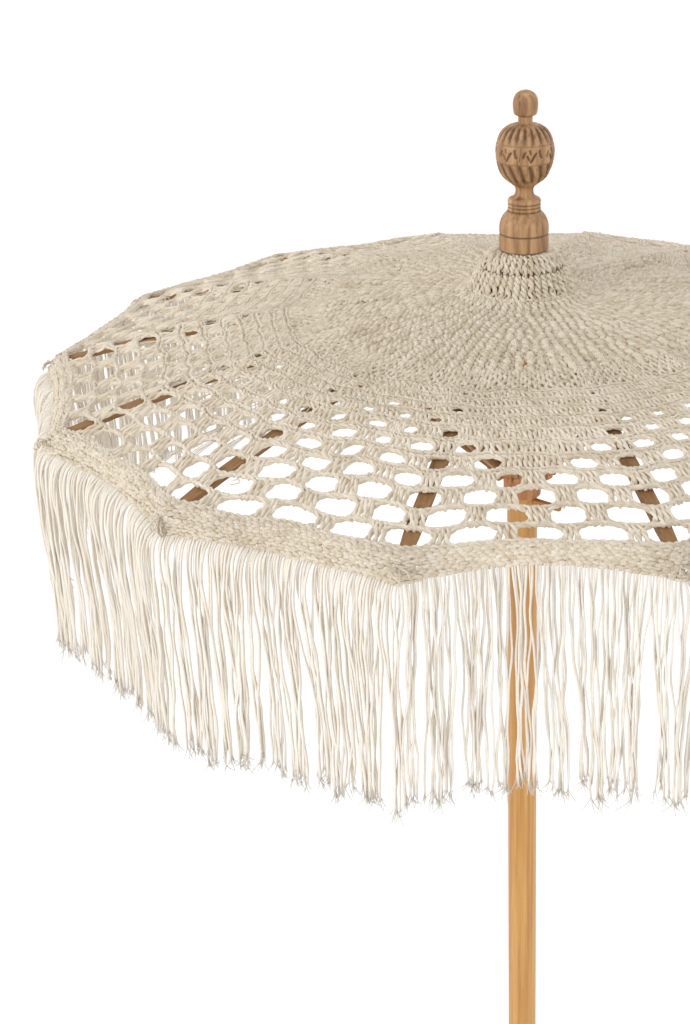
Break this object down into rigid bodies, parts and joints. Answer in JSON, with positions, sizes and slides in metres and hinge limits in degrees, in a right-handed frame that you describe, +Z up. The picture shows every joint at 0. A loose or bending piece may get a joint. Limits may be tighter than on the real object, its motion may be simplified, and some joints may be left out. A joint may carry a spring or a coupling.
{
  "type": "garden parasol",
  "caption": "Round garden parasol with a wooden pole, carved finial, folding lath frame on a sliding runner, openwork crochet canopy and long cotton fringe.",
  "frame": {"origin": "centre of the pole's flat foot", "axes": "+Z up along the pole; rib 1 points 14.54 degrees from -Y towards +X"},
  "size_m": [1.5994, 1.5696, 2.302],
  "materials": {
    "pole_wood": "satin oiled, fine upright grain",
    "carved_wood": "satin waxed, open dark pores",
    "lath_wood": "matt, raw sawn",
    "turned_wood": "matt, turned",
    "wire": "drawn galvanised wire",
    "crochet_cotton": "matt cotton cord",
    "fringe_cotton": "matt soft cotton yarn"
  },
  "bodies": {
    "root": {"pole": "pole_wood", "finial": "carved_wood", "top_hub": "turned_wood", "hub_wire_ring": "wire", "hub_pin": "turned_wood", "canopy": "crochet_cotton"},
    "runner": {"runner": "turned_wood"},
    "peg": {"locking_peg": "turned_wood"},
    "rib_01": {"rib_01": "lath_wood"},
    "stretcher_01": {"stretcher_01": "lath_wood"},
    "fringe_01": {"fringe_01": "fringe_cotton"},
    "rib_02": {"rib_02": "lath_wood"},
    "stretcher_02": {"stretcher_02": "lath_wood"},
    "fringe_02": {"fringe_02": "fringe_cotton"},
    "rib_03": {"rib_03": "lath_wood"},
    "stretcher_03": {"stretcher_03": "lath_wood"},
    "fringe_03": {"fringe_03": "fringe_cotton"},
    "rib_04": {"rib_04": "lath_wood"},
    "stretcher_04": {"stretcher_04": "lath_wood"},
    "fringe_04": {"fringe_04": "fringe_cotton"},
    "rib_05": {"rib_05": "lath_wood"},
    "stretcher_05": {"stretcher_05": "lath_wood"},
    "fringe_05": {"fringe_05": "fringe_cotton"},
    "rib_06": {"rib_06": "lath_wood"},
    "stretcher_06": {"stretcher_06": "lath_wood"},
    "fringe_06": {"fringe_06": "fringe_cotton"},
    "rib_07": {"rib_07": "lath_wood"},
    "stretcher_07": {"stretcher_07": "lath_wood"},
    "fringe_07": {"fringe_07": "fringe_cotton"},
    "rib_08": {"rib_08": "lath_wood"},
    "stretcher_08": {"stretcher_08": "lath_wood"},
    "fringe_08": {"fringe_08": "fringe_cotton"},
    "rib_09": {"rib_09": "lath_wood"},
    "stretcher_09": {"stretcher_09": "lath_wood"},
    "fringe_09": {"fringe_09": "fringe_cotton"},
    "rib_10": {"rib_10": "lath_wood"},
    "stretcher_10": {"stretcher_10": "lath_wood"},
    "fringe_10": {"fringe_10": "fringe_cotton"},
    "rib_11": {"rib_11": "lath_wood"},
    "stretcher_11": {"stretcher_11": "lath_wood"},
    "fringe_11": {"fringe_11": "fringe_cotton"},
    "rib_12": {"rib_12": "lath_wood"},
    "stretcher_12": {"stretcher_12": "lath_wood"},
    "fringe_12": {"fringe_12": "fringe_cotton"},
    "rib_13": {"rib_13": "lath_wood"},
    "stretcher_13": {"stretcher_13": "lath_wood"},
    "fringe_13": {"fringe_13": "fringe_cotton"},
    "rib_14": {"rib_14": "lath_wood"},
    "stretcher_14": {"stretcher_14": "lath_wood"},
    "fringe_14": {"fringe_14": "fringe_cotton"}
  },
  "joints": [
    {"name": "rib_01_fold", "type": "hinge", "parent": "root", "child": "rib_01", "pos_m": [0.01306, -0.05033, 1.9515], "axis": [0.968, 0.2511, 0], "range_deg": [0, 78], "deforming": ["canopy", "locking_peg"]},
    {"name": "stretcher_01_swing", "type": "hinge", "parent": "rib_01", "child": "stretcher_01", "pos_m": [0.08435, -0.32524, 1.91724], "axis": [0.968, 0.2511, 0], "range_deg": [-121.21, 0]},
    {"name": "fringe_01_hang", "type": "hinge", "parent": "rib_01", "child": "fringe_01", "pos_m": [0.19582, -0.75502, 1.84553], "axis": [0.968, 0.2511, 0], "range_deg": [-78.5, 0], "deforming": ["fringe_01"]},
    {"name": "rib_02_fold", "type": "hinge", "parent": "root", "child": "rib_02", "pos_m": [-0.01008, -0.05101, 1.9515], "axis": [0.981, -0.1938, 0], "range_deg": [0, 78]},
    {"name": "stretcher_02_swing", "type": "hinge", "parent": "rib_02", "child": "stretcher_02", "pos_m": [-0.06512, -0.32963, 1.91724], "axis": [0.981, -0.1938, 0], "range_deg": [-121.21, 0]},
    {"name": "fringe_02_hang", "type": "hinge", "parent": "rib_02", "child": "fringe_02", "pos_m": [-0.15116, -0.76521, 1.84553], "axis": [0.981, -0.1938, 0], "range_deg": [-78.5, 0], "deforming": ["fringe_02"]},
    {"name": "rib_03_fold", "type": "hinge", "parent": "root", "child": "rib_03", "pos_m": [-0.03121, -0.04159, 1.9515], "axis": [0.7998, -0.6003, 0], "range_deg": [0, 78]},
    {"name": "stretcher_03_swing", "type": "hinge", "parent": "rib_03", "child": "stretcher_03", "pos_m": [-0.20169, -0.26873, 1.91724], "axis": [0.7998, -0.6003, 0], "range_deg": [-121.21, 0]},
    {"name": "fringe_03_hang", "type": "hinge", "parent": "rib_03", "child": "fringe_03", "pos_m": [-0.4682, -0.62385, 1.84553], "axis": [0.7998, -0.6003, 0], "range_deg": [-78.5, 0], "deforming": ["fringe_03"]},
    {"name": "rib_04_fold", "type": "hinge", "parent": "root", "child": "rib_04", "pos_m": [-0.04617, -0.02393, 1.9515], "axis": [0.4602, -0.8878, 0], "range_deg": [0, 78]},
    {"name": "stretcher_04_swing", "type": "hinge", "parent": "rib_04", "child": "stretcher_04", "pos_m": [-0.29831, -0.15461, 1.91724], "axis": [0.4602, -0.8878, 0], "range_deg": [-121.21, 0]},
    {"name": "fringe_04_hang", "type": "hinge", "parent": "rib_04", "child": "fringe_04", "pos_m": [-0.69251, -0.35892, 1.84553], "axis": [0.4602, -0.8878, 0], "range_deg": [-78.5, 0], "deforming": ["fringe_04"]},
    {"name": "rib_05_fold", "type": "hinge", "parent": "root", "child": "rib_05", "pos_m": [-0.05198, -0.00153, 1.9515], "axis": [0.0294, -0.9996, 0], "range_deg": [0, 78]},
    {"name": "stretcher_05_swing", "type": "hinge", "parent": "rib_05", "child": "stretcher_05", "pos_m": [-0.33586, -0.00987, 1.91724], "axis": [0.0294, -0.9996, 0], "range_deg": [-121.21, 0]},
    {"name": "fringe_05_hang", "type": "hinge", "parent": "rib_05", "child": "fringe_05", "pos_m": [-0.77966, -0.02291, 1.84553], "axis": [0.0294, -0.9996, 0], "range_deg": [-78.5, 0], "deforming": ["fringe_05"]},
    {"name": "rib_06_fold", "type": "hinge", "parent": "root", "child": "rib_06", "pos_m": [-0.04749, 0.02118, 1.9515], "axis": [-0.4072, -0.9133, 0], "range_deg": [0, 78]},
    {"name": "stretcher_06_swing", "type": "hinge", "parent": "rib_06", "child": "stretcher_06", "pos_m": [-0.30688, 0.13683, 1.91724], "axis": [-0.4072, -0.9133, 0], "range_deg": [-121.21, 0]},
    {"name": "fringe_06_hang", "type": "hinge", "parent": "rib_06", "child": "fringe_06", "pos_m": [-0.71239, 0.31765, 1.84553], "axis": [-0.4072, -0.9133, 0], "range_deg": [-78.5, 0], "deforming": ["fringe_06"]},
    {"name": "rib_07_fold", "type": "hinge", "parent": "root", "child": "rib_07", "pos_m": [-0.0336, 0.03969, 1.9515], "axis": [-0.7632, -0.6462, 0], "range_deg": [0, 78]},
    {"name": "stretcher_07_swing", "type": "hinge", "parent": "rib_07", "child": "stretcher_07", "pos_m": [-0.21712, 0.25643, 1.91724], "axis": [-0.7632, -0.6462, 0], "range_deg": [-121.21, 0]},
    {"name": "fringe_07_hang", "type": "hinge", "parent": "rib_07", "child": "fringe_07", "pos_m": [-0.50402, 0.59528, 1.84553], "axis": [-0.7632, -0.6462, 0], "range_deg": [-78.5, 0], "deforming": ["fringe_07"]},
    {"name": "rib_08_fold", "type": "hinge", "parent": "root", "child": "rib_08", "pos_m": [-0.01306, 0.05033, 1.9515], "axis": [-0.968, -0.2511, 0], "range_deg": [0, 78]},
    {"name": "stretcher_08_swing", "type": "hinge", "parent": "rib_08", "child": "stretcher_08", "pos_m": [-0.08435, 0.32524, 1.91724], "axis": [-0.968, -0.2511, 0], "range_deg": [-121.21, 0]},
    {"name": "fringe_08_hang", "type": "hinge", "parent": "rib_08", "child": "fringe_08", "pos_m": [-0.19582, 0.75502, 1.84553], "axis": [-0.968, -0.2511, 0], "range_deg": [-78.5, 0], "deforming": ["fringe_08"]},
    {"name": "rib_09_fold", "type": "hinge", "parent": "root", "child": "rib_09", "pos_m": [0.01008, 0.05101, 1.9515], "axis": [-0.981, 0.1938, 0], "range_deg": [0, 78]},
    {"name": "stretcher_09_swing", "type": "hinge", "parent": "rib_09", "child": "stretcher_09", "pos_m": [0.06512, 0.32963, 1.91724], "axis": [-0.981, 0.1938, 0], "range_deg": [-121.21, 0]},
    {"name": "fringe_09_hang", "type": "hinge", "parent": "rib_09", "child": "fringe_09", "pos_m": [0.15116, 0.76521, 1.84553], "axis": [-0.981, 0.1938, 0], "range_deg": [-78.5, 0], "deforming": ["fringe_09"]},
    {"name": "rib_10_fold", "type": "hinge", "parent": "root", "child": "rib_10", "pos_m": [0.03121, 0.04159, 1.9515], "axis": [-0.7998, 0.6003, 0], "range_deg": [0, 78]},
    {"name": "stretcher_10_swing", "type": "hinge", "parent": "rib_10", "child": "stretcher_10", "pos_m": [0.20169, 0.26873, 1.91724], "axis": [-0.7998, 0.6003, 0], "range_deg": [-121.21, 0]},
    {"name": "fringe_10_hang", "type": "hinge", "parent": "rib_10", "child": "fringe_10", "pos_m": [0.4682, 0.62385, 1.84553], "axis": [-0.7998, 0.6003, 0], "range_deg": [-78.5, 0], "deforming": ["fringe_10"]},
    {"name": "rib_11_fold", "type": "hinge", "parent": "root", "child": "rib_11", "pos_m": [0.04617, 0.02393, 1.9515], "axis": [-0.4602, 0.8878, 0], "range_deg": [0, 78]},
    {"name": "stretcher_11_swing", "type": "hinge", "parent": "rib_11", "child": "stretcher_11", "pos_m": [0.29831, 0.15461, 1.91724], "axis": [-0.4602, 0.8878, 0], "range_deg": [-121.21, 0]},
    {"name": "fringe_11_hang", "type": "hinge", "parent": "rib_11", "child": "fringe_11", "pos_m": [0.69251, 0.35892, 1.84553], "axis": [-0.4602, 0.8878, 0], "range_deg": [-78.5, 0], "deforming": ["fringe_11"]},
    {"name": "rib_12_fold", "type": "hinge", "parent": "root", "child": "rib_12", "pos_m": [0.05198, 0.00153, 1.9515], "axis": [-0.0294, 0.9996, 0], "range_deg": [0, 78]},
    {"name": "stretcher_12_swing", "type": "hinge", "parent": "rib_12", "child": "stretcher_12", "pos_m": [0.33586, 0.00987, 1.91724], "axis": [-0.0294, 0.9996, 0], "range_deg": [-121.21, 0]},
    {"name": "fringe_12_hang", "type": "hinge", "parent": "rib_12", "child": "fringe_12", "pos_m": [0.77966, 0.02291, 1.84553], "axis": [-0.0294, 0.9996, 0], "range_deg": [-78.5, 0], "deforming": ["fringe_12"]},
    {"name": "rib_13_fold", "type": "hinge", "parent": "root", "child": "rib_13", "pos_m": [0.04749, -0.02118, 1.9515], "axis": [0.4072, 0.9133, 0], "range_deg": [0, 78]},
    {"name": "stretcher_13_swing", "type": "hinge", "parent": "rib_13", "child": "stretcher_13", "pos_m": [0.30688, -0.13683, 1.91724], "axis": [0.4072, 0.9133, 0], "range_deg": [-121.21, 0]},
    {"name": "fringe_13_hang", "type": "hinge", "parent": "rib_13", "child": "fringe_13", "pos_m": [0.71239, -0.31765, 1.84553], "axis": [0.4072, 0.9133, 0], "range_deg": [-78.5, 0], "deforming": ["fringe_13"]},
    {"name": "rib_14_fold", "type": "hinge", "parent": "root", "child": "rib_14", "pos_m": [0.0336, -0.03969, 1.9515], "axis": [0.7632, 0.6462, 0], "range_deg": [0, 78]},
    {"name": "stretcher_14_swing", "type": "hinge", "parent": "rib_14", "child": "stretcher_14", "pos_m": [0.21712, -0.25643, 1.91724], "axis": [0.7632, 0.6462, 0], "range_deg": [-121.21, 0]},
    {"name": "fringe_14_hang", "type": "hinge", "parent": "rib_14", "child": "fringe_14", "pos_m": [0.50402, -0.59528, 1.84553], "axis": [0.7632, 0.6462, 0], "range_deg": [-78.5, 0], "deforming": ["fringe_14"]},
    {"name": "runner_slide", "type": "slide", "parent": "root", "child": "runner", "axis": [0, 0, 1], "range_m": [-0.3752, 0]},
    {"name": "peg_pull", "type": "slide", "parent": "root", "child": "peg", "axis": [0.7998, -0.6003, 0], "range_m": [0, 0.6]}
  ],
  "couplings": [
    {"joint": "stretcher_01_swing", "follows": "rib_01_fold", "ratio": -1.5475},
    {"joint": "fringe_01_hang", "follows": "rib_01_fold", "ratio": -1},
    {"joint": "rib_02_fold", "follows": "rib_01_fold", "ratio": 1},
    {"joint": "stretcher_02_swing", "follows": "rib_01_fold", "ratio": -1.5475},
    {"joint": "fringe_02_hang", "follows": "rib_01_fold", "ratio": -1},
    {"joint": "rib_03_fold", "follows": "rib_01_fold", "ratio": 1},
    {"joint": "stretcher_03_swing", "follows": "rib_01_fold", "ratio": -1.5475},
    {"joint": "fringe_03_hang", "follows": "rib_01_fold", "ratio": -1},
    {"joint": "rib_04_fold", "follows": "rib_01_fold", "ratio": 1},
    {"joint": "stretcher_04_swing", "follows": "rib_01_fold", "ratio": -1.5475},
    {"joint": "fringe_04_hang", "follows": "rib_01_fold", "ratio": -1},
    {"joint": "rib_05_fold", "follows": "rib_01_fold", "ratio": 1},
    {"joint": "stretcher_05_swing", "follows": "rib_01_fold", "ratio": -1.5475},
    {"joint": "fringe_05_hang", "follows": "rib_01_fold", "ratio": -1},
    {"joint": "rib_06_fold", "follows": "rib_01_fold", "ratio": 1},
    {"joint": "stretcher_06_swing", "follows": "rib_01_fold", "ratio": -1.5475},
    {"joint": "fringe_06_hang", "follows": "rib_01_fold", "ratio": -1},
    {"joint": "rib_07_fold", "follows": "rib_01_fold", "ratio": 1},
    {"joint": "stretcher_07_swing", "follows": "rib_01_fold", "ratio": -1.5475},
    {"joint": "fringe_07_hang", "follows": "rib_01_fold", "ratio": -1},
    {"joint": "rib_08_fold", "follows": "rib_01_fold", "ratio": 1},
    {"joint": "stretcher_08_swing", "follows": "rib_01_fold", "ratio": -1.5475},
    {"joint": "fringe_08_hang", "follows": "rib_01_fold", "ratio": -1},
    {"joint": "rib_09_fold", "follows": "rib_01_fold", "ratio": 1},
    {"joint": "stretcher_09_swing", "follows": "rib_01_fold", "ratio": -1.5475},
    {"joint": "fringe_09_hang", "follows": "rib_01_fold", "ratio": -1},
    {"joint": "rib_10_fold", "follows": "rib_01_fold", "ratio": 1},
    {"joint": "stretcher_10_swing", "follows": "rib_01_fold", "ratio": -1.5475},
    {"joint": "fringe_10_hang", "follows": "rib_01_fold", "ratio": -1},
    {"joint": "rib_11_fold", "follows": "rib_01_fold", "ratio": 1},
    {"joint": "stretcher_11_swing", "follows": "rib_01_fold", "ratio": -1.5475},
    {"joint": "fringe_11_hang", "follows": "rib_01_fold", "ratio": -1},
    {"joint": "rib_12_fold", "follows": "rib_01_fold", "ratio": 1},
    {"joint": "stretcher_12_swing", "follows": "rib_01_fold", "ratio": -1.5475},
    {"joint": "fringe_12_hang", "follows": "rib_01_fold", "ratio": -1},
    {"joint": "rib_13_fold", "follows": "rib_01_fold", "ratio": 1},
    {"joint": "stretcher_13_swing", "follows": "rib_01_fold", "ratio": -1.5475},
    {"joint": "fringe_13_hang", "follows": "rib_01_fold", "ratio": -1},
    {"joint": "rib_14_fold", "follows": "rib_01_fold", "ratio": 1},
    {"joint": "stretcher_14_swing", "follows": "rib_01_fold", "ratio": -1.5475},
    {"joint": "fringe_14_hang", "follows": "rib_01_fold", "ratio": -1},
    {"joint": "runner_slide", "follows": "rib_01_fold", "m_per_rad": -0.27417}
  ]
}
